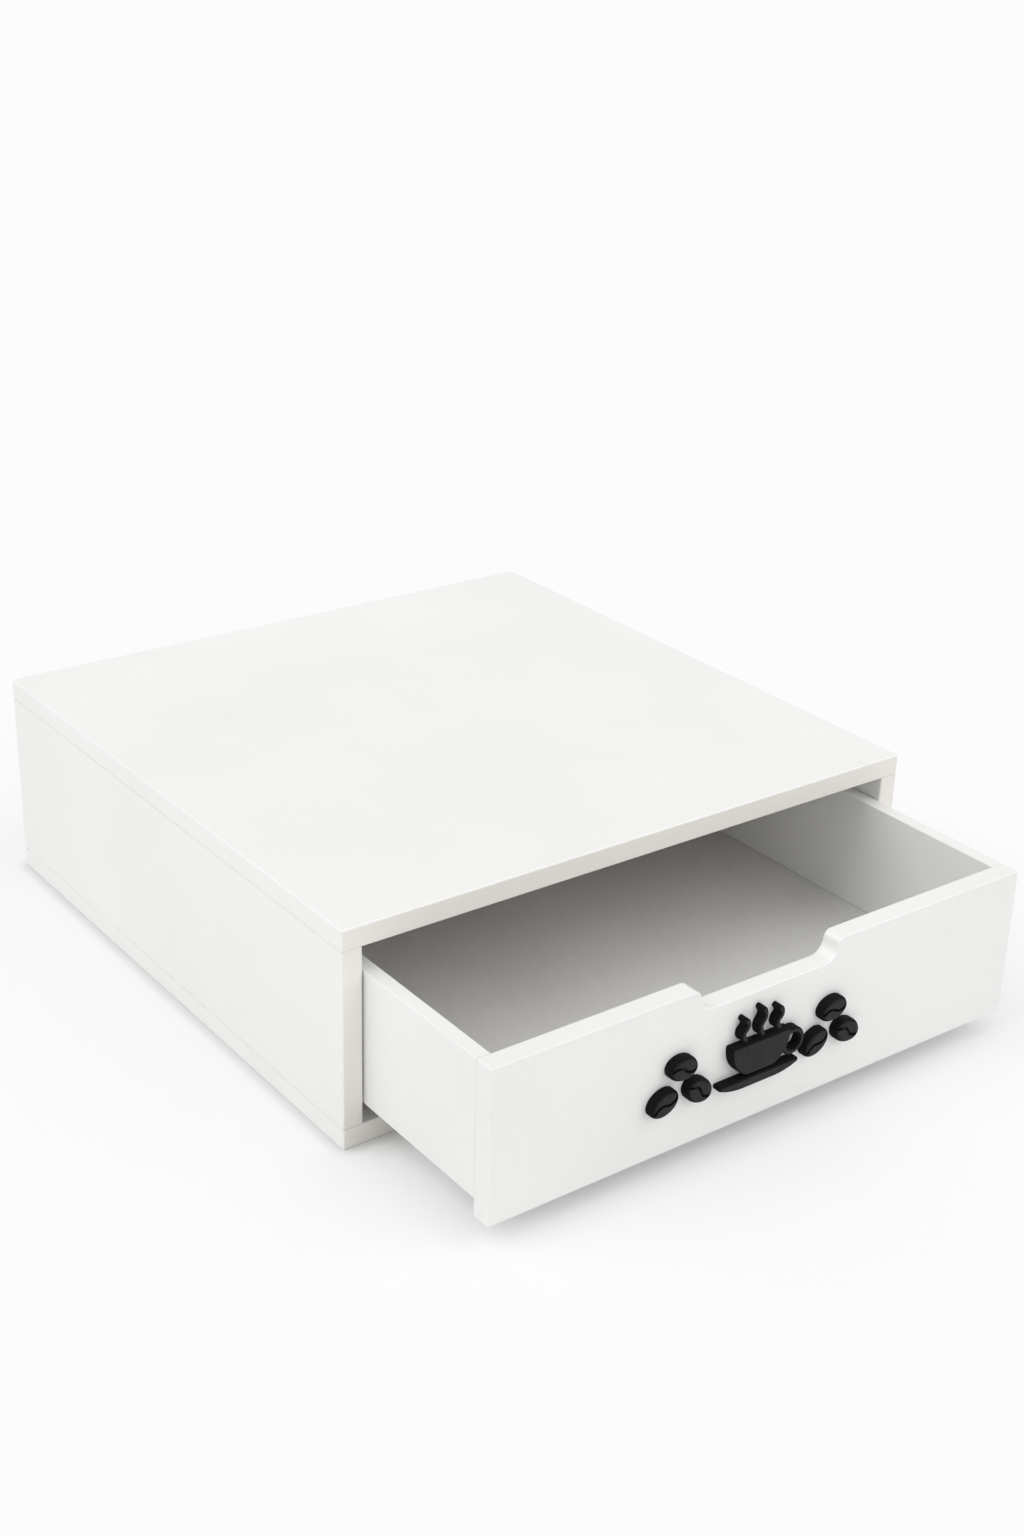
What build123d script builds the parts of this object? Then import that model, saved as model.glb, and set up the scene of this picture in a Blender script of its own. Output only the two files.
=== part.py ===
from build123d import *
import math
import os

# A low lacquered cabinet with one full-width drawer.
# Millimetres. X points right, the drawer opens towards -Y, and Z points up.
# The origin is the centre of the base panel's underside.

# Cabinet boards
cabinet_width = 300.0
cabinet_depth = 300.0
cabinet_height = 100.0
cabinet_board = 9.5
corner_radius = 1.0
edge_radius = 0.8
seam_radius = 0.4
base_edge_radius = 0.6

# Back panel, let into a rebate all round
back_panel_board = 3.0
back_panel_lap = 5.0
back_panel_clearance = 0.2

# Drawer boards and the gaps round them
drawer_front_board = 9.0
drawer_board = 6.5
drawer_gap = 0.8
front_bottom_gap = 0.5
rim_gap = 11.2
back_rise = 5.0
drawer_corner_radius = 0.7
drawer_edge_radius = 0.5
drawer_seam_radius = 0.15

# How far the drawer comes out: as modelled, and at its stop
drawer_opening = 84.0
drawer_travel = 200.0
stop_clearance = 0.2

# Strips that carry and guide the drawer
runner_height = 8.5
runner_width = 12.0
runner_setback = 20.0
runner_end_gap = 4.0
slide_clearance = 0.3
kicker_width = 6.0
kicker_setback = 26.0
kicker_clearance = 0.5
batten_thickness = 9.0
batten_clearance = 1.5
strip_edge_radius = 0.5

# Soft pads that the closed drawer meets
bumper_diameter = 8.0
bumper_thickness = 2.5
bumper_dome_radius = 0.8
bumper_inset = 41.0
bumper_height = 50.0

# Drawer bottom, held in grooves
bottom_board = 3.0
bottom_lift = 4.2
groove_depth = 3.0
groove_clearance = 0.2
groove_end_clearance = 0.3

# Finger notch in the drawer front's top edge
notch_width = 80.0
notch_depth = 10.0
notch_shift = -3.5
notch_floor_radius = 7.0
notch_lip_radius = 3.6

# Dowels
peg_clearance = 0.1
peg_end_clearance = 0.5
dowel_chamfer = 0.5
top_dowel_diameter = 4.0
top_dowel_length = 14.0
top_dowel_bite = 5.0
top_dowel_count = 3
top_dowel_inset = 35.0
drawer_dowel_diameter = 3.0
front_dowel_length = 14.0
front_dowel_bite = 5.5
back_dowel_length = 12.0
back_dowel_bite = 3.5
drawer_dowel_inset = 12.0

# Countersunk screws through the base into the side panels
screw_head_diameter = 6.0
screw_head_height = 2.2
screw_diameter = 3.0
screw_length = 30.0
screw_tip = 4.0
screw_recess = 0.3
screw_slot_length = 3.4
screw_slot_width = 0.7
screw_slot_depth = 1.2
screw_count = 3
screw_inset = 35.0

# Brads
brad_diameter = 1.4
brad_length = 15.0
brad_head_diameter = 2.4
brad_head_height = 0.9
brad_recess = 0.3
brad_inset = 20.0
back_brads_across = 5
back_brads_up = 3
strip_brads = 3
batten_brad_count = 4
bottom_brad_count = 4

# Raised ornament on the drawer front, bottom edge above the front's bottom edge
ornament_thickness = 4.5
ornament_shift = -9.7
ornament_lift = 19.0
ornament_bevel = 0.6
ornament_gap = 1.2
saucer_width = 42.0
saucer_foot_width = 18.0
saucer_height = 4.6
saucer_belly = 0.6
saucer_foot_radius = 3.0
saucer_lip_height = 1.8
saucer_lip_radius = 0.8
cup_width = 31.0
cup_foot_width = 14.0
cup_height = 14.5
cup_belly = 2.4
cup_foot_radius = 3.0
cup_lip_height = 1.8
cup_lip_radius = 0.9
handle_outer_radius = 6.2
handle_inner_radius = 3.8
handle_overhang = 1.6
handle_drop = 0.8
steam_height = 11.0
steam_extra_height = 2.4
steam_width = 2.6
steam_sway = 1.1
steam_spacing = 9.0
bean_length = 14.5
bean_width = 10.8
bean_round = 2.2
bean_gap = 3.0
bean_row_lift = 7.0
bean_row_rise = 13.0
crease_width = 1.3
crease_depth = 1.5
crease_sway = 1.1
crease_length_share = 0.8
bean_tilts = {"inner": 32.0, "outer": -24.0, "upper": 8.0}

# Reach of every cut past the face it opens
overrun = 1.0

# Places that follow from the sizes above
sides = {"left": -1, "right": 1}
front_y = -cabinet_depth / 2
rear_y = cabinet_depth / 2
bay_rear_y = rear_y - back_panel_board
bay_half = cabinet_width / 2 - cabinet_board
floor_z = cabinet_board
ceiling_z = cabinet_height - cabinet_board
side_centre_x = cabinet_width / 2 - cabinet_board / 2

runner_top_z = floor_z + runner_height
rim_z = ceiling_z - rim_gap
kicker_bottom_z = rim_z + kicker_clearance
batten_bottom_z = rim_z + batten_clearance
strip_rear_y = bay_rear_y - runner_end_gap

drawer_half = bay_half - drawer_gap
drawer_inner_half = drawer_half - drawer_board
drawer_bottom_z = runner_top_z + slide_clearance
front_bottom_z = floor_z + front_bottom_gap
front_inner_y = front_y + drawer_front_board
drawer_rear_y = bay_rear_y - bumper_thickness - stop_clearance
drawer_back_y = drawer_rear_y - drawer_board
batten_rear_y = drawer_back_y - drawer_travel - stop_clearance
bottom_z = drawer_bottom_z + bottom_lift
bottom_top_z = bottom_z + bottom_board
back_top_z = rim_z + back_rise
drawer_side_x = drawer_half - drawer_board / 2
drawer_back_middle_y = drawer_back_y + drawer_board / 2
groove_half = drawer_inner_half + groove_depth
bottom_half = groove_half - groove_end_clearance


def block(x_span, y_span, z_span):
    """A square-edged block between two limits along each axis."""
    spans = (x_span, y_span, z_span)
    centre = [(low + high) / 2 for low, high in spans]
    return Pos(*centre) * Box(*[high - low for low, high in spans])


def across(half):
    """The limits of a piece that is centred on X = 0."""
    return (-half, half)


def mirrored_span(side, inner, outer):
    """The limits along X of a piece on one side, from its inner to its outer face."""
    return tuple(sorted((side * inner, side * outer)))


def spread(count, low, high, inset):
    """Evenly spaced places between two limits, the first and last set in from them."""
    step = (high - low - 2 * inset) / (count - 1)
    return [low + inset + step * i for i in range(count)]


def rod(radius, length, start=0):
    """A round bar along +Z."""
    return Pos(0, 0, start) * Cylinder(radius, length, align=(Align.CENTER, Align.CENTER, Align.MIN))


def at_places(piece, places):
    """Copies of one piece, as separate solids of one group."""
    return [place * piece for place in places]


# Fasteners, each made along +Z from its head or lower end

def dowel(diameter, length):
    bar = rod(diameter / 2, length)
    return chamfer(bar.edges().filter_by(GeomType.CIRCLE), dowel_chamfer)


def dowel_hole(diameter, length):
    return rod(diameter / 2 + peg_clearance, length + 2 * peg_end_clearance, -peg_end_clearance)


def screw():
    shank_end = screw_length - screw_tip
    outline = Polyline(
        (0, 0),
        (screw_head_diameter / 2, 0),
        (screw_diameter / 2, screw_head_height),
        (screw_diameter / 2, shank_end),
        (0, screw_length),
        close=True,
    )
    body = revolve(Plane.XZ * make_face(outline), Axis.Z)
    slot = block(across(screw_slot_length / 2), across(screw_slot_width / 2), (-overrun, screw_slot_depth))
    return body - slot - Rot(0, 0, 90) * slot


def screw_hole():
    head_radius = screw_head_diameter / 2 + peg_clearance
    shank_radius = screw_diameter / 2 + peg_clearance
    shank = rod(shank_radius, screw_length + peg_end_clearance)
    head = Cone(head_radius, shank_radius, screw_head_height, align=(Align.CENTER, Align.CENTER, Align.MIN))
    return shank + head + rod(head_radius, screw_recess + overrun, -screw_recess - overrun)


def brad():
    return rod(brad_diameter / 2, brad_length) + rod(brad_head_diameter / 2, brad_head_height)


def brad_hole():
    mouth = brad_recess + overrun
    shank = rod(brad_diameter / 2 + peg_clearance, brad_length + peg_end_clearance)
    return shank + rod(brad_head_diameter / 2 + peg_clearance, brad_head_height + mouth, -mouth)


# Places of the fasteners

upward = Rot(0, 0, 0)
downward = Rot(180, 0, 0)
forward = Rot(90, 0, 0)
rearward = Rot(-90, 0, 0)

top_dowel_places = [
    Pos(side * side_centre_x, y, ceiling_z + top_dowel_bite - top_dowel_length)
    for side in sides.values()
    for y in spread(top_dowel_count, front_y, rear_y, top_dowel_inset)
]
screw_places = [
    Pos(side * side_centre_x, y, screw_recess)
    for side in sides.values()
    for y in spread(screw_count, front_y, rear_y, screw_inset)
]
back_brad_x = bay_half + back_panel_lap / 2
back_brad_head_y = rear_y - brad_recess
back_brad_places = [
    Pos(x, back_brad_head_y, z) * forward
    for z in (floor_z - back_panel_lap / 2, ceiling_z + back_panel_lap / 2)
    for x in spread(back_brads_across, -bay_half, bay_half, brad_inset)
] + [
    Pos(side * back_brad_x, back_brad_head_y, z) * forward
    for side in sides.values()
    for z in spread(back_brads_up, floor_z, ceiling_z, brad_inset)
]
runner_brad_places = [
    Pos(side * (bay_half - runner_width / 2), y, runner_top_z - brad_recess) * downward
    for side in sides.values()
    for y in spread(strip_brads, front_y + runner_setback, strip_rear_y, brad_inset)
]
kicker_brad_places = [
    Pos(side * (bay_half - kicker_width / 2), y, kicker_bottom_z + brad_recess) * upward
    for side in sides.values()
    for y in spread(strip_brads, front_y + kicker_setback, strip_rear_y, brad_inset)
]
batten_half = bay_half - kicker_width
batten_brad_places = [
    Pos(x, batten_rear_y - batten_thickness / 2, batten_bottom_z + brad_recess) * upward
    for x in spread(batten_brad_count, -batten_half, batten_half, brad_inset)
]
front_dowel_places = [
    Pos(side * drawer_side_x, front_inner_y - front_dowel_bite, z) * rearward
    for side in sides.values()
    for z in (bottom_top_z + drawer_dowel_inset, rim_z - drawer_dowel_inset)
]
back_dowel_places = [
    Pos(side * (drawer_inner_half + back_dowel_bite), drawer_back_middle_y, z) * Rot(0, -90 * side, 0)
    for side in sides.values()
    for z in (bottom_top_z + drawer_dowel_inset, rim_z - drawer_dowel_inset)
]
bottom_brad_places = [
    Pos(x, drawer_back_middle_y, bottom_z + brad_recess) * upward
    for x in spread(bottom_brad_count, -drawer_inner_half, drawer_inner_half, brad_inset)
]

top_dowel_holes = at_places(dowel_hole(top_dowel_diameter, top_dowel_length), top_dowel_places)
screw_holes = at_places(screw_hole(), screw_places)
back_brad_holes = at_places(brad_hole(), back_brad_places)
runner_brad_holes = at_places(brad_hole(), runner_brad_places)
kicker_brad_holes = at_places(brad_hole(), kicker_brad_places)
batten_brad_holes = at_places(brad_hole(), batten_brad_places)
front_dowel_holes = at_places(dowel_hole(drawer_dowel_diameter, front_dowel_length), front_dowel_places)
back_dowel_holes = at_places(dowel_hole(drawer_dowel_diameter, back_dowel_length), back_dowel_places)
bottom_brad_holes = at_places(brad_hole(), bottom_brad_places)


# Cabinet

def back_rebate():
    """The space cut out of the four boards for the back panel."""
    lap = back_panel_lap + back_panel_clearance
    return block(across(bay_half + lap), (bay_rear_y, rear_y + overrun), (floor_z - lap, ceiling_z + lap))


def full_panel(low_z, high_z, low_radius, high_radius):
    """A board of the cabinet's full width and depth, with softened edges."""
    panel = block(across(cabinet_width / 2), (front_y, rear_y), (low_z, high_z))
    panel = fillet(panel.edges().filter_by(Axis.Z), corner_radius)
    panel = fillet(panel.faces().sort_by(Axis.Z)[-1].edges(), high_radius)
    panel = fillet(panel.faces().sort_by(Axis.Z)[0].edges(), low_radius)
    return panel - back_rebate() - back_brad_holes


def top_panel():
    panel = full_panel(ceiling_z, cabinet_height, seam_radius, edge_radius)
    return panel - top_dowel_holes - kicker_brad_holes - batten_brad_holes


def base_panel():
    panel = full_panel(0, floor_z, base_edge_radius, seam_radius)
    return panel - screw_holes - runner_brad_holes


def side_panel(side):
    panel = block(
        mirrored_span(side, bay_half, cabinet_width / 2), (front_y, rear_y), (floor_z, ceiling_z)
    )
    upright = panel.edges().filter_by(Axis.Z)
    outer = upright.group_by(Axis.X, reverse=side > 0)[0]
    panel = fillet(outer, corner_radius)
    inner = panel.edges().filter_by(Axis.Z).group_by(Axis.X, reverse=side < 0)[0]
    panel = fillet(inner.sort_by(Axis.Y)[0], edge_radius)
    panel = fillet(panel.faces().sort_by(Axis.Z)[-1].edges(), seam_radius)
    panel = fillet(panel.faces().sort_by(Axis.Z)[0].edges(), seam_radius)
    return panel - back_rebate() - top_dowel_holes - screw_holes - back_brad_holes


def back_panel():
    lap = back_panel_lap
    panel = block(across(bay_half + lap), (bay_rear_y, rear_y), (floor_z - lap, ceiling_z + lap))
    return panel - back_brad_holes


def runner(side):
    strip = block(
        mirrored_span(side, bay_half - runner_width, bay_half),
        (front_y + runner_setback, strip_rear_y),
        (floor_z, runner_top_z),
    )
    strip = fillet(strip.faces().sort_by(Axis.Y)[0].edges(), strip_edge_radius)
    return strip - runner_brad_holes


def kicker(side):
    strip = block(
        mirrored_span(side, bay_half - kicker_width, bay_half),
        (front_y + kicker_setback, strip_rear_y),
        (kicker_bottom_z, ceiling_z),
    )
    strip = fillet(strip.faces().sort_by(Axis.Y)[0].edges(), strip_edge_radius)
    return strip - kicker_brad_holes


def stop_batten():
    strip = block(
        across(batten_half), (batten_rear_y - batten_thickness, batten_rear_y), (batten_bottom_z, ceiling_z)
    )
    strip = fillet(strip.faces().sort_by(Axis.Z)[0].edges(), strip_edge_radius)
    return strip - batten_brad_holes


def bumper(side):
    pad = rod(bumper_diameter / 2, bumper_thickness)
    pad = fillet(pad.faces().sort_by(Axis.Z)[-1].edges(), bumper_dome_radius)
    return Pos(side * (bay_half - bumper_inset), bay_rear_y, bumper_height) * forward * pad


# Drawer, in its closed place

def bottom_groove():
    """The space that the drawer bottom's edges sit in, open to the rear."""
    return block(
        across(groove_half),
        (front_inner_y - groove_depth, drawer_rear_y + overrun),
        (bottom_z, bottom_top_z + groove_clearance),
    )


def front_outline():
    """The drawer front seen from the front: a rectangle with a notch whose ends are S-curves."""
    radii = notch_floor_radius + notch_lip_radius
    turn = math.acos(1 - notch_depth / radii)
    lip_x = notch_width / 2
    floor_x = lip_x - radii * math.sin(turn)
    notch_floor_z = rim_z - notch_depth
    bend_x = floor_x + notch_floor_radius * math.sin(turn)
    bend_z = notch_floor_z + notch_floor_radius * (1 - math.cos(turn))
    slope = (math.cos(turn), math.sin(turn))
    right_end = [
        TangentArc((floor_x, notch_floor_z), (bend_x, bend_z), tangent=(1, 0)),
        TangentArc((bend_x, bend_z), (lip_x, rim_z), tangent=slope),
    ]
    left_end = [curve.mirror(Plane.YZ) for curve in right_end]
    notch_floor = Line((-floor_x, notch_floor_z), (floor_x, notch_floor_z))
    notch_top = Line((-lip_x, rim_z), (lip_x, rim_z))
    notch = make_face([notch_floor, notch_top] + right_end + left_end)
    sheet = make_face(
        Polyline(
            (-drawer_half, front_bottom_z),
            (drawer_half, front_bottom_z),
            (drawer_half, rim_z),
            (-drawer_half, rim_z),
            close=True,
        )
    )
    sheet = fillet(sheet.vertices(), drawer_corner_radius)
    return sheet - Pos(notch_shift, 0, 0) * notch


def drawer_front():
    panel = extrude(Plane.XZ.offset(-front_inner_y) * front_outline(), drawer_front_board)
    panel = fillet(panel.faces().sort_by(Axis.Y)[0].edges(), drawer_edge_radius)
    panel = fillet(panel.faces().sort_by(Axis.Y)[-1].edges(), drawer_seam_radius)
    return panel - bottom_groove() - front_dowel_holes


def drawer_side(side):
    panel = block(
        mirrored_span(side, drawer_inner_half, drawer_half),
        (front_inner_y, drawer_rear_y),
        (drawer_bottom_z, rim_z),
    )
    panel = fillet(panel.edges().filter_by(Axis.Y).group_by(Axis.Z)[-1], drawer_edge_radius)
    panel = fillet(panel.edges().filter_by(Axis.Y).group_by(Axis.Z)[0], drawer_seam_radius)
    return panel - bottom_groove() - front_dowel_holes - back_dowel_holes


def drawer_back():
    panel = block(across(drawer_inner_half), (drawer_back_y, drawer_rear_y), (bottom_top_z, back_top_z))
    panel = fillet(panel.edges().filter_by(Axis.X).group_by(Axis.Z)[-1], drawer_edge_radius)
    return panel - back_dowel_holes - bottom_brad_holes


def drawer_bottom():
    panel = block(
        across(bottom_half),
        (front_inner_y - groove_depth + groove_end_clearance, drawer_rear_y),
        (bottom_z, bottom_top_z),
    )
    return panel - bottom_brad_holes


# Ornament, drawn in X and Z with its bottom edge on the level of the saucer's underside

ornament_plane = Plane.XZ.offset(-front_y)
ornament_place = Pos(ornament_shift, 0, front_bottom_z + ornament_lift)
cup_z = saucer_height + ornament_gap
steam_z = cup_z + cup_height + ornament_gap


def raised(face, bevel):
    """A flat cut-out standing on the drawer front, with bevelled front edges."""
    solid = extrude(ornament_plane * face, ornament_thickness)
    return ornament_place * chamfer(solid.faces().sort_by(Axis.Y)[0].edges(), bevel)


def s_curve(length, sway):
    """Two arcs end to end along +X, the first above the axis and the second below it."""
    half = length / 2
    return [
        ThreePointArc((-half, 0), (-half / 2, sway), (0, 0)),
        ThreePointArc((0, 0), (half / 2, -sway), (half, 0)),
    ]


def ribbon(length, sway, width):
    """An S-curve drawn with a round pen."""
    path = s_curve(length, sway)
    ends = [Pos(x, 0) * Circle(width / 2) for x in across(length / 2)]
    return trace(path, width) + ends


def bowl(width, foot_width, height, belly, foot_radius, lip_height, lip_radius):
    """A bowl seen from the side: a flat foot, swelling flanks and an upright lip."""
    foot, lip = foot_width / 2, width / 2
    flank = SagittaArc((lip, height - lip_height), (foot, 0), belly)
    edge = Line((lip, height - lip_height), (lip, height))
    ends = [Line((-foot, 0), (foot, 0)), Line((-lip, height), (lip, height))]
    sheet = make_face(ends + [side for curve in (flank, edge) for side in (curve, curve.mirror(Plane.YZ))])
    sheet = fillet(sheet.vertices().group_by(Axis.Y)[0], foot_radius)
    return fillet(sheet.vertices().group_by(Axis.Y)[-1], lip_radius)


def ornament_saucer():
    dish = bowl(
        saucer_width,
        saucer_foot_width,
        saucer_height,
        saucer_belly,
        saucer_foot_radius,
        saucer_lip_height,
        saucer_lip_radius,
    )
    return raised(dish, ornament_bevel)


def ornament_cup():
    cup = bowl(
        cup_width, cup_foot_width, cup_height, cup_belly, cup_foot_radius, cup_lip_height, cup_lip_radius
    )
    ring_place = Pos(cup_width / 2 + handle_overhang, cup_height - handle_outer_radius - handle_drop)
    handle = ring_place * (Circle(handle_outer_radius) - Circle(handle_inner_radius))
    cup_place = Pos(0, cup_z)
    return raised(cup_place * cup, ornament_bevel) + raised(cup_place * handle, ornament_bevel)


def ornament_steam(step):
    height = steam_height if step else steam_height + steam_extra_height
    wisp = Rot(0, 0, 90) * ribbon(height - steam_width, steam_sway, steam_width)
    return raised(Pos(step * steam_spacing, steam_z + height / 2) * wisp, ornament_bevel)


def ornament_bean(side, row):
    inner_x = saucer_width / 2 + bean_gap + bean_length / 2
    pitch = bean_length + bean_gap
    centres = {
        "inner": (inner_x, bean_row_lift),
        "outer": (inner_x + pitch, bean_row_lift),
        "upper": (inner_x + pitch / 2, bean_row_lift + bean_row_rise),
    }
    x, z = centres[row]
    seat = Pos(side * x, z) * Rot(0, 0, side * bean_tilts[row])
    solid = extrude(ornament_plane * (seat * Ellipse(bean_length / 2, bean_width / 2)), ornament_thickness)
    solid = fillet(solid.faces().sort_by(Axis.Y)[0].edges(), bean_round)
    crease = seat * ribbon(bean_length * crease_length_share, crease_sway, crease_width)
    front_plane = ornament_plane.offset(ornament_thickness - crease_depth)
    solid -= extrude(front_plane * crease, crease_depth + overrun)
    return ornament_place * solid


cabinet_nodes = {
    "top_panel": top_panel(),
    "base_panel": base_panel(),
    "back_panel": back_panel(),
    "stop_batten": stop_batten(),
    "top_dowels": at_places(dowel(top_dowel_diameter, top_dowel_length), top_dowel_places),
    "base_screws": at_places(screw(), screw_places),
    "back_panel_brads": at_places(brad(), back_brad_places),
    "runner_brads": at_places(brad(), runner_brad_places),
    "kicker_brads": at_places(brad(), kicker_brad_places),
    "batten_brads": at_places(brad(), batten_brad_places),
}
drawer_nodes = {
    "drawer_front": drawer_front(),
    "drawer_back": drawer_back(),
    "drawer_bottom": drawer_bottom(),
    "front_dowels": at_places(dowel(drawer_dowel_diameter, front_dowel_length), front_dowel_places),
    "back_dowels": at_places(dowel(drawer_dowel_diameter, back_dowel_length), back_dowel_places),
    "bottom_brads": at_places(brad(), bottom_brad_places),
    "ornament_saucer": ornament_saucer(),
    "ornament_cup": ornament_cup(),
}
for name, side in sides.items():
    cabinet_nodes[f"{name}_side_panel"] = side_panel(side)
    cabinet_nodes[f"runner_{name}"] = runner(side)
    cabinet_nodes[f"kicker_{name}"] = kicker(side)
    cabinet_nodes[f"bumper_{name}"] = bumper(side)
    drawer_nodes[f"drawer_{name}_side"] = drawer_side(side)
    for row in bean_tilts:
        drawer_nodes[f"ornament_bean_{name}_{row}"] = ornament_bean(side, row)
for name, step in {"left": -1, "middle": 0, "right": 1}.items():
    drawer_nodes[f"ornament_steam_{name}"] = ornament_steam(step)

pulled_out = Pos(0, -drawer_opening, 0)
os.makedirs("parts", exist_ok=True)
for nodes, place in ((cabinet_nodes, Pos(0, 0, 0)), (drawer_nodes, pulled_out)):
    for name, piece in nodes.items():
        solids = piece if isinstance(piece, list) else [piece]
        group = Compound(children=[solid for part in solids for solid in (place * part).solids()])
        export_step(group, f"parts/{name}.step")
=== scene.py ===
import math
from dataclasses import dataclass

import bpy
from mathutils import Matrix, Vector

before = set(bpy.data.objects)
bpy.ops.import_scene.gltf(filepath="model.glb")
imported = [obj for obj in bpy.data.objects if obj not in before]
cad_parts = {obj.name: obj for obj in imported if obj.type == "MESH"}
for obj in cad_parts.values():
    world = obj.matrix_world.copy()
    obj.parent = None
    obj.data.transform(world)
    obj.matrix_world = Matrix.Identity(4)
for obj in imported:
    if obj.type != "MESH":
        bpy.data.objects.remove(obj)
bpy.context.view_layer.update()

# Looks of a low white cabinet with one drawer. Metres, Z up, the drawer opens towards -Y.

# Camera: place, turn about Z from +Y towards +X, tilt below the horizon, roll, focal length and sensor in
# millimetres, and how near and far it sees
camera_place = (-0.5166, -0.7427, 0.4877)
camera_turn = math.radians(36.925)
camera_tilt = math.radians(24.583)
camera_roll = math.radians(1.633)
camera_lens = 48.94
sensor_long_side = 36.0
nearest_seen = 0.01
farthest_seen = 100

# Light: an even white room, which looks whiter than it shines, with soft lamps, each turned from the front
# towards +X and raised, in degrees
room_white = (1, 1, 1)
room_strength = 0.60
backdrop_strength = 0.975
lamps = {
    "lamp_left": {"turn": -105, "elevation": 50, "spread": 50, "strength": 0.87},
    "lamp_right": {"turn": 46, "elevation": 38, "spread": 55, "strength": 0.765},
    "lamp_front": {"turn": -20, "elevation": 30, "spread": 60, "strength": 0.12},
    "lamp_rim": {"turn": -149, "elevation": 27, "spread": 30, "strength": 0.15},
}

# Floor: white paper, seen through a veil of painted white light that lightens its shadows.
# The share of open sky above a place, within a reach, tells how close the object is: one in the open,
# about half beside a wall, and less below the drawer. A painted contact shadow greys the paper where the
# object stands on it.
# The painted veil is thin beside the object, gone where the object covers the paper, and thickest far away.
floor_half = 30.0
floor_corners = ((-1, -1), (1, -1), (1, 1), (-1, 1))
floor_white = (0.955, 0.955, 0.953)
painted_contact_shadow_grey = (0.630, 0.630, 0.627)
contact_sky_share = 0.5
contact_reach = 0.007
veil_white = (0.980, 0.980, 0.980)
veil_share = 0.46
veil_sky_share = 0.28
veil_reach = 0.016
veil_far_share = 0.24
veil_far_sky_share = 0.62
veil_far_reach = 0.200
cover_sky_shares = (0.36, 0.52)
cover_reach = 0.030
sky_samples = 4

# Looks that depend on how much of a face's direction lies along an axis: the share up to which each is full,
# and the share from which it is gone
front_facing_shares = (-0.95, -0.75)
round_facing_shares = (0.80, 0.97)
seam_facing_shares = (0.90, 0.98)

# Dull lines in the seams between boards: how far they reach, and how strongly they show
seam_reach = 0.0006
cabinet_seam_share = 0.6
drawer_seam_share = 0.25

# Colours, linear, each from deep to light
lacquer_colours = ((0.864, 0.863, 0.850), (0.895, 0.895, 0.884))
# Painted highlight: a whiter lacquer on rounded edges stands in for the light they catch
painted_highlight_colours = ((0.945, 0.944, 0.934), (0.965, 0.965, 0.956))
# Painted shade: a darker, warmer lacquer on faces that look along -Y stands in for shade and warm reflected
# light there
front_shade_colours = ((0.872, 0.844, 0.796), (0.902, 0.875, 0.831))
seam_colours = ((0.640, 0.622, 0.585), (0.700, 0.682, 0.645))
hardboard_colours = ((0.735, 0.728, 0.705), (0.800, 0.795, 0.776))
wood_colours = ((0.330, 0.190, 0.090), (0.640, 0.450, 0.265))
steel_colours = ((0.420, 0.415, 0.400), (0.620, 0.615, 0.595))
pad_colours = ((0.560, 0.570, 0.575), (0.700, 0.710, 0.715))
black_colours = ((0.0045, 0.0045, 0.0047), (0.0160, 0.0157, 0.0152))
raw_black_colours = ((0.0018, 0.0018, 0.0019), (0.0042, 0.0041, 0.0040))

# The tones, between 0 and 1, at which those colours lie; wood is light in the middle and deep at both ends
lacquer_tones = (0.36, 0.62)
hardboard_tones = (0.34, 0.64)
wood_tones = (0.34, 0.46, 0.56, 0.66)
steel_tones = (0.32, 0.66)
pad_tones = (0.34, 0.66)
black_tones = (0.36, 0.64)

# Roughness where a grain is low and where it is high, and what the raw black sides add to theirs
grain_low = 0.3
grain_high = 0.7
lacquer_roughness = (0.44, 0.33)
hardboard_roughness = (0.62, 0.46)
wood_roughness = (0.72, 0.52)
steel_roughness = (0.26, 0.46)
pad_roughness = (0.36, 0.54)
black_roughness = (0.54, 0.38)
raw_black_dulling = 0.45

# Gloss
lacquer_ior = 1.47
pad_ior = 1.41
black_specular_level = 0.20


@dataclass
class Grain:
    """A scatter of spots: how many lie along a metre, how finely they are broken up, how deep their relief is
    in metres, how strongly the finer ones show, and how far they are drawn out of shape."""

    per_metre: float
    detail: float
    depth: float = 0
    roughness: float = 0.5
    distortion: float = 0


lacquer_patches = Grain(11, detail=3, depth=0.0003)
lacquer_peel = Grain(420, detail=1, depth=0.00003)
lacquer_dust = Grain(2600, detail=1, depth=0.000004)
hardboard_patches = Grain(16, detail=4)
hardboard_fibres = Grain(240, detail=4, depth=0.00008, roughness=0.65, distortion=1.5)
wood_grain = Grain(190, detail=5, depth=0.00012, roughness=0.6, distortion=0.6)
wood_pores = Grain(1500, detail=2, depth=0.00004)
steel_clouds = Grain(700, detail=3)
steel_marks = Grain(4200, detail=2, depth=0.000006)
pad_clouds = Grain(500, detail=3)
pad_skin = Grain(2400, detail=2, depth=0.00001)
black_patches = Grain(70, detail=3, depth=0.00008)
black_grain = Grain(1500, detail=2, depth=0.00005)

# How much of a tone the coarser of two grains makes up, and the share of its count per metre that a long
# grain keeps lengthwise
lacquer_patches_share = 0.75
hardboard_patches_share = 0.5
wood_grain_share = 0.8
black_patches_share = 0.4
fibre_lengthwise_share = 0.35
wood_lengthwise_share = 0.05
mark_lengthwise_share = 0.2


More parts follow.
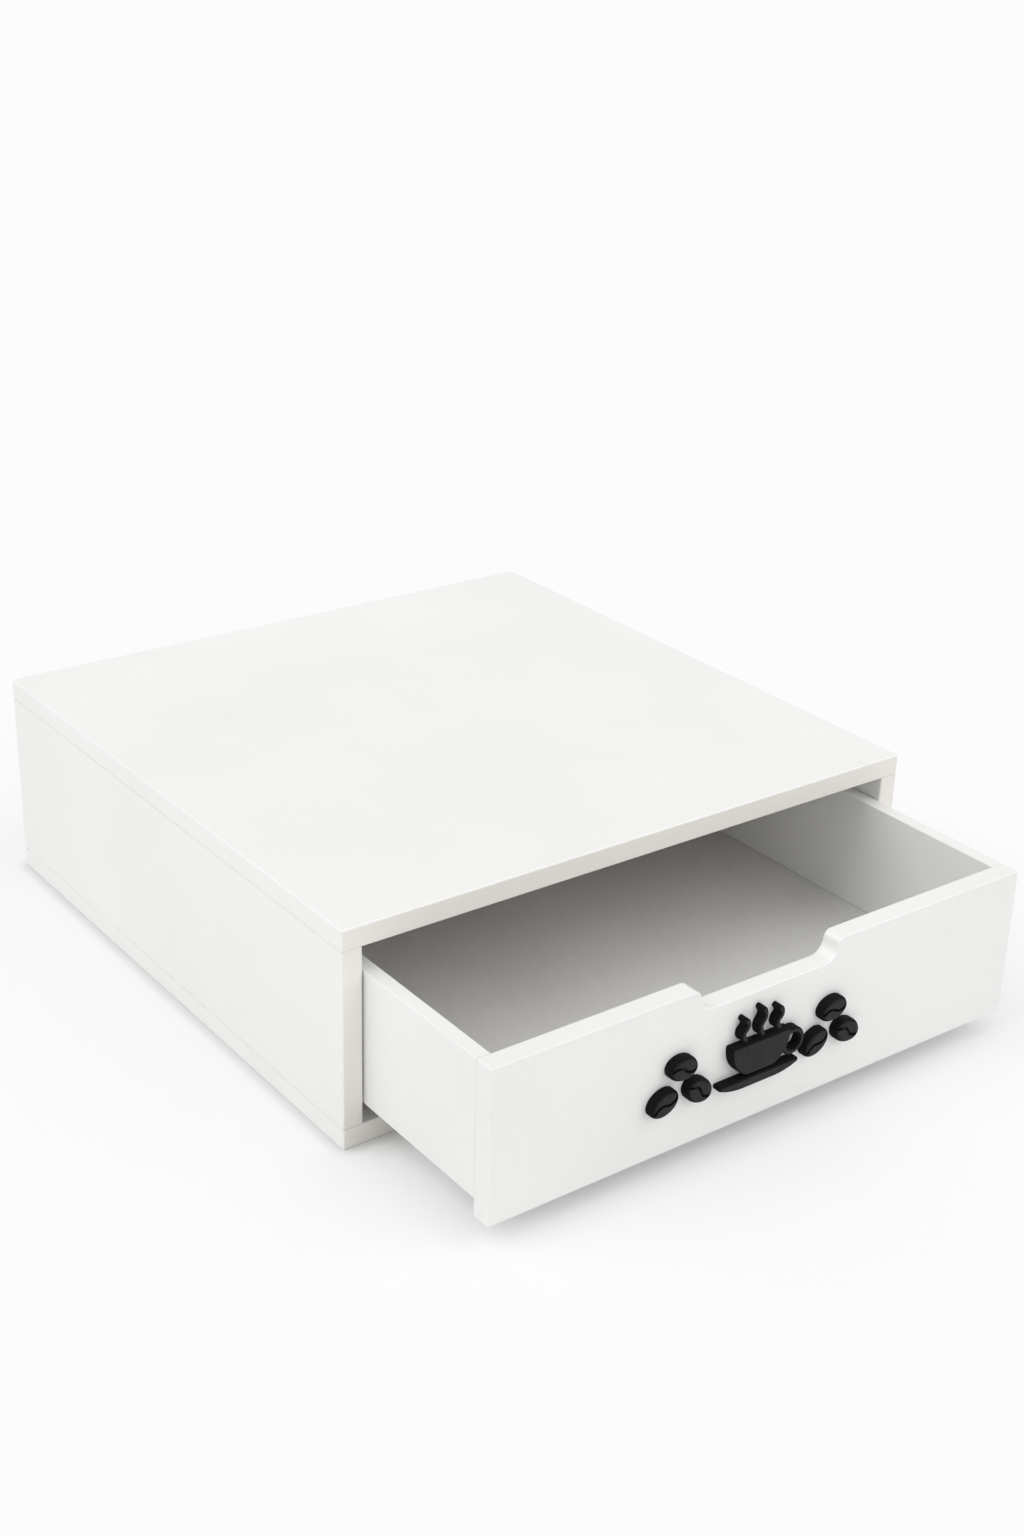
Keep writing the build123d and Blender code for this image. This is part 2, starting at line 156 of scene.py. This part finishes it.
class Nodes:
    """A node tree with short ways to add to it."""

    def __init__(self, tree):
        self.tree = tree

    def node(self, kind, **settings):
        made = self.tree.nodes.new(kind)
        for name, value in settings.items():
            setattr(made, name, value)
        return made

    def link(self, source, target):
        self.tree.links.new(source, target)

    def spread(self, value, low, high, start, end):
        """A value between start and end, spread over low to high."""
        made = self.node("ShaderNodeMapRange")
        made.inputs["From Min"].default_value = start
        made.inputs["From Max"].default_value = end
        made.inputs["To Min"].default_value = low
        made.inputs["To Max"].default_value = high
        self.link(value, made.inputs["Value"])
        return made.outputs["Result"]

    def sums(self, kind, first, second=0):
        """One step of arithmetic on numbers and other nodes' values."""
        made = self.node("ShaderNodeMath", operation=kind)
        for socket, value in zip(made.inputs, (first, second)):
            if isinstance(value, (int, float)):
                socket.default_value = value
            else:
                self.link(value, socket)
        return made.outputs["Value"]

    def seen(self):
        """One for what is seen straight, mirrored or through glass, nought for what only lights others."""
        rays = self.node("ShaderNodeLightPath").outputs
        mirrored = self.sums("MAXIMUM", rays["Is Glossy Ray"], rays["Is Transmission Ray"])
        return self.sums("MAXIMUM", rays["Is Camera Ray"], mirrored)


class Finish(Nodes):
    """A node material that is built up round one surface shader."""

    def __init__(self, name):
        self.material = bpy.data.materials.new(name)
        self.material.use_nodes = True
        super().__init__(self.material.node_tree)
        self.shader = self.tree.nodes["Principled BSDF"]

    def along_axes(self, vector):
        """The three parts of a vector, by the names of the axes."""
        parts = self.node("ShaderNodeSeparateXYZ")
        self.link(vector, parts.inputs["Vector"])
        return parts.outputs

    def place(self):
        """Where a point lies, along the piece's axes."""
        return self.node("ShaderNodeTexCoord").outputs["Object"]

    def facing(self):
        """The way a face looks, along the piece's axes."""
        return self.along_axes(self.node("ShaderNodeTexCoord").outputs["Normal"])

    def noise(self, grain, lengthwise=None, lengthwise_share=1):
        """A grain's value from place to place, drawn out along one axis if that is named."""
        made = self.node("ShaderNodeTexNoise")
        made.inputs["Scale"].default_value = grain.per_metre
        made.inputs["Detail"].default_value = grain.detail
        made.inputs["Roughness"].default_value = grain.roughness
        made.inputs["Distortion"].default_value = grain.distortion
        place = self.place()
        if lengthwise:
            stretch = [lengthwise_share if axis == lengthwise else 1 for axis in "XYZ"]
            mapping = self.node("ShaderNodeMapping")
            mapping.inputs["Scale"].default_value = stretch
            self.link(place, mapping.inputs["Vector"])
            place = mapping.outputs["Vector"]
        self.link(place, made.inputs["Vector"])
        return made.outputs["Fac"]

    def blended(self, coarse, fine, coarse_share):
        """A tone made of two grains."""
        return self.sums(
            "ADD",
            self.sums("MULTIPLY", coarse, coarse_share),
            self.sums("MULTIPLY", fine, 1 - coarse_share),
        )

    def colours(self, tone, tones, colours):
        """A colour ramp that reaches each colour at its tone."""
        ramp = self.node("ShaderNodeValToRGB")
        elements = ramp.color_ramp.elements
        while len(elements) < len(tones):
            elements.new(1)
        for element, position, colour in zip(elements, tones, colours):
            element.position = position
            element.color = (*colour, 1)
        self.link(tone, ramp.inputs["Fac"])
        return ramp.outputs["Color"]

    def mixed(self, share, first, second):
        """The first colour, turning into the second as the share goes from 0 to 1."""
        made = self.node("ShaderNodeMix", data_type="RGBA")
        colours = [socket for socket in made.inputs if socket.type == "RGBA"]
        self.link(share, made.inputs["Factor"])
        self.link(first, colours[0])
        self.link(second, colours[1])
        return next(socket for socket in made.outputs if socket.type == "RGBA")

    def roughness(self, grain_value, ends):
        """A roughness that follows a grain, from its low places to its high ones."""
        return self.spread(grain_value, *ends, grain_low, grain_high)

    def facing_front(self):
        """One on faces that look along -Y, nought on the others."""
        return self.spread(self.facing()["Y"], 1, 0, *front_facing_shares)

    def rounded_edges(self):
        """One on rounded edges, nought on faces that look along an axis."""
        x, y, z = (self.sums("ABSOLUTE", part) for part in self.facing())
        largest = self.sums("MAXIMUM", self.sums("MAXIMUM", x, y), z)
        return self.spread(largest, 1, 0, *round_facing_shares)

    def seams(self, axis, places, most):
        """Highest in the seams across an axis, nought beside them and on the faces that meet."""
        across = self.sums("ABSOLUTE", self.facing()[axis])
        here = self.along_axes(self.place())[axis]
        offsets = [self.sums("ABSOLUTE", self.sums("SUBTRACT", here, place)) for place in places]
        nearest = offsets[0]
        for offset in offsets[1:]:
            nearest = self.sums("MINIMUM", nearest, offset)
        outside = self.spread(across, most, 0, *seam_facing_shares)
        return self.sums("MULTIPLY", outside, self.spread(nearest, 1, 0, 0, seam_reach))

    def openness(self, reach):
        """The share of the sky above a place that is free of anything within reach."""
        made = self.node("ShaderNodeAmbientOcclusion", samples=sky_samples)
        made.inputs["Distance"].default_value = reach
        return made.outputs["AO"]

    def relief(self, *reliefs):
        """Small reliefs, given as (value, grain), one over another."""
        normal = None
        for value, grain in reliefs:
            made = self.node("ShaderNodeBump")
            made.inputs["Strength"].default_value = 1
            made.inputs["Distance"].default_value = grain.depth
            self.link(value, made.inputs["Height"])
            if normal:
                self.link(normal, made.inputs["Normal"])
            normal = made.outputs["Normal"]
        self.link(normal, self.shader.inputs["Normal"])

    def set(self, **constants):
        """Set the shader's own values, named with _ for spaces."""
        for name, value in constants.items():
            self.shader.inputs[name.replace("_", " ")].default_value = value

    def dress(self, colour, roughness):
        self.link(colour, self.shader.inputs["Base Color"])
        self.link(roughness, self.shader.inputs["Roughness"])


def lacquer(name, seams, paint_front_shade=False):
    """Sprayed satin white: patches of tone, orange peel and dust; painted shade, darker and warmer, on faces
    that look along -Y if asked, a painted highlight, whiter, on rounded edges, and dull in the seams."""
    made = Finish(name)
    patches = made.noise(lacquer_patches)
    peel = made.noise(lacquer_peel)
    dust = made.noise(lacquer_dust)
    tone = made.blended(patches, peel, lacquer_patches_share)
    # Painted highlight on rounded edges, and dull lines in the seams
    layers = [(made.rounded_edges(), painted_highlight_colours), (made.seams(*seams), seam_colours)]
    # Painted shade, darker and warmer, on the faces that look along -Y
    if paint_front_shade:
        layers.insert(0, (made.facing_front(), front_shade_colours))
    colour = made.colours(tone, lacquer_tones, lacquer_colours)
    for share, layer_colours in layers:
        colour = made.mixed(share, colour, made.colours(tone, lacquer_tones, layer_colours))
    made.dress(colour, made.roughness(tone, lacquer_roughness))
    made.relief((patches, lacquer_patches), (peel, lacquer_peel), (dust, lacquer_dust))
    made.set(IOR=lacquer_ior)
    return made.material


def hardboard():
    """White-faced pressed fibre, duller than the lacquer, with short fibres in its surface."""
    made = Finish("white_hardboard_matt")
    patches = made.noise(hardboard_patches)
    fibres = made.noise(hardboard_fibres, "Y", fibre_lengthwise_share)
    tone = made.blended(patches, fibres, hardboard_patches_share)
    made.dress(
        made.colours(tone, hardboard_tones, hardboard_colours),
        made.roughness(fibres, hardboard_roughness),
    )
    made.relief((fibres, hardboard_fibres))
    return made.material


def wood(name, along):
    """Planed softwood with its grain along one axis."""
    made = Finish(name)
    grain = made.noise(wood_grain, along, wood_lengthwise_share)
    pores = made.noise(wood_pores, along, wood_lengthwise_share)
    tone = made.blended(grain, pores, wood_grain_share)
    made.dress(
        made.colours(tone, wood_tones, wood_colours + wood_colours[::-1]),
        made.roughness(pores, wood_roughness),
    )
    made.relief((grain, wood_grain), (pores, wood_pores))
    return made.material


def steel():
    """Zinc-plated steel: cloudy plating with fine drawing marks."""
    made = Finish("zinc_plated_steel")
    clouds = made.noise(steel_clouds)
    marks = made.noise(steel_marks, "Z", mark_lengthwise_share)
    made.dress(
        made.colours(clouds, steel_tones, steel_colours),
        made.roughness(marks, steel_roughness),
    )
    made.relief((marks, steel_marks))
    made.set(Metallic=1)
    return made.material


def soft_pad():
    """Cloudy silicone rubber."""
    made = Finish("soft_pad_rubber")
    clouds = made.noise(pad_clouds)
    skin = made.noise(pad_skin)
    made.dress(
        made.colours(clouds, pad_tones, pad_colours),
        made.roughness(skin, pad_roughness),
    )
    made.relief((skin, pad_skin))
    made.set(IOR=pad_ior)
    return made.material


def black_ornament():
    """Black paint, stippled satin on the front and left raw and dull on the cut sides."""
    made = Finish("black_ornament_satin")
    patches = made.noise(black_patches)
    grain = made.noise(black_grain)
    tone = made.blended(patches, grain, black_patches_share)
    front = made.facing_front()
    side_colour = made.colours(tone, black_tones, raw_black_colours)
    front_colour = made.colours(tone, black_tones, black_colours)
    side_dulling = made.spread(front, raw_black_dulling, 0, 0, 1)
    made.dress(
        made.mixed(front, side_colour, front_colour),
        made.sums("ADD", made.roughness(grain, black_roughness), side_dulling),
    )
    made.relief((grain, black_grain), (patches, black_patches))
    made.set(Specular_IOR_Level=black_specular_level)
    return made.material


def ends(name, axis):
    """Where a CAD node starts and ends along one of its own axes."""
    places = [corner["XYZ".index(axis)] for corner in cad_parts[name].bound_box]
    return min(places), max(places)


def dress_nodes():
    """Give every CAD node its finish."""
    grains = {axis: wood(f"plain_wood_{axis.lower()}", axis) for axis in "XYZ"}
    front_seam, _ = ends("drawer_left_side", "Y")
    side_seams = ends("left_side_panel", "Z")
    finishes = {
        "white_lacquer": lacquer("white_lacquer_satin", ("Y", [front_seam], drawer_seam_share)),
        "white_hardboard": hardboard(),
        "plain_wood": grains["Y"],
        "steel": steel(),
        "soft_pad": soft_pad(),
        "black_ornament": black_ornament(),
    }
    boards = lacquer("white_lacquer_boards", ("Z", side_seams, cabinet_seam_share), paint_front_shade=True)
    own_finishes = {
        "stop_batten": grains["X"],
        "back_dowels": grains["X"],
        "top_dowels": grains["Z"],
        "top_panel": boards,
        "base_panel": boards,
        "left_side_panel": boards,
        "right_side_panel": boards,
    }
    for name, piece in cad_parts.items():
        for slot in piece.material_slots:
            slot.material = own_finishes.get(name, finishes[slot.material.name])


def paper():
    """White paper behind its veil of painted light. The veil and the painted contact shadow by the object are
    seen, and don't light anything.
    """
    made = Finish("floor_paper")
    made.set(Roughness=1, Specular_IOR_Level=0)
    seen = made.seen()
    # Painted contact shadow: the paper turns grey where little sky is open close by, for camera rays only
    clear = made.spread(made.openness(contact_reach), 0, 1, contact_sky_share, 1)
    clear = made.sums("MAXIMUM", clear, made.sums("SUBTRACT", 1, seen))
    made.link(made.colours(clear, (0, 1), (painted_contact_shadow_grey, floor_white)), made.shader.inputs["Base Color"])
    # Painted light: a white glow over the paper, seen only, that lightens its shadows; thin near the object
    # and gone under it
    near = made.spread(made.openness(veil_reach), 0, veil_share, veil_sky_share, 1)
    far = made.spread(made.openness(veil_far_reach), 0, veil_far_share, veil_far_sky_share, 1)
    uncovered = made.spread(made.openness(cover_reach), 0, 1, *cover_sky_shares)
    share = made.sums("MULTIPLY", uncovered, made.sums("ADD", near, far))
    veil = made.node("ShaderNodeEmission")
    veil.inputs["Color"].default_value = (*veil_white, 1)
    mix = made.node("ShaderNodeMixShader")
    fac, bare, veiled = mix.inputs
    made.link(made.sums("MULTIPLY", seen, share), fac)
    made.link(made.shader.outputs["BSDF"], bare)
    made.link(veil.outputs["Emission"], veiled)
    made.link(mix.outputs["Shader"], made.tree.nodes["Material Output"].inputs["Surface"])
    return made.material


def add(name, data):
    """A new object in the scene."""
    piece = bpy.data.objects.new(name, data)
    bpy.context.scene.collection.objects.link(piece)
    return piece


def make_floor():
    mesh = bpy.data.meshes.new("floor")
    corners = [(floor_half * x, floor_half * y, 0) for x, y in floor_corners]
    mesh.from_pydata(corners, [], [range(len(corners))])
    mesh.materials.append(paper())
    piece = add("floor", mesh)


def make_light():
    world = bpy.data.worlds.new("room")
    world.use_nodes = True
    room = Nodes(world.node_tree)
    background = room.tree.nodes["Background"]
    background.inputs["Color"].default_value = (*room_white, 1)
    strength = room.spread(room.seen(), room_strength, backdrop_strength, 0, 1)
    room.link(strength, background.inputs["Strength"])
    bpy.context.scene.world = world
    for name, lamp in lamps.items():
        data = bpy.data.lights.new(name, "SUN")
        data.energy = lamp["strength"]
        data.angle = math.radians(lamp["spread"])
        turn = math.radians(lamp["turn"])
        elevation = math.radians(lamp["elevation"])
        level = math.cos(elevation)
        towards = Vector((math.sin(turn) * level, -math.cos(turn) * level, math.sin(elevation)))
        holder = add(name, data)
        holder.rotation_mode = "QUATERNION"
        holder.rotation_quaternion = towards.to_track_quat("Z", "Y")


def make_camera():
    data = bpy.data.cameras.new("camera")
    data.sensor_width = sensor_long_side
    data.lens = camera_lens
    data.clip_start = nearest_seen
    data.clip_end = farthest_seen
    level_ahead = Vector((math.sin(camera_turn), math.cos(camera_turn), 0))
    level_right = Vector((math.cos(camera_turn), -math.sin(camera_turn), 0))
    ahead = math.cos(camera_tilt) * level_ahead - math.sin(camera_tilt) * Vector((0, 0, 1))
    level_up = level_right.cross(ahead)
    right = math.cos(camera_roll) * level_right + math.sin(camera_roll) * level_up
    up = math.cos(camera_roll) * level_up - math.sin(camera_roll) * level_right
    holder = add("camera", data)
    turned = Matrix((right, up, -ahead)).transposed().to_4x4()
    holder.matrix_world = Matrix.Translation(camera_place) @ turned
    bpy.context.scene.camera = holder


bpy.context.scene.view_settings.view_transform = "Standard"
make_camera()
make_light()
make_floor()
dress_nodes()
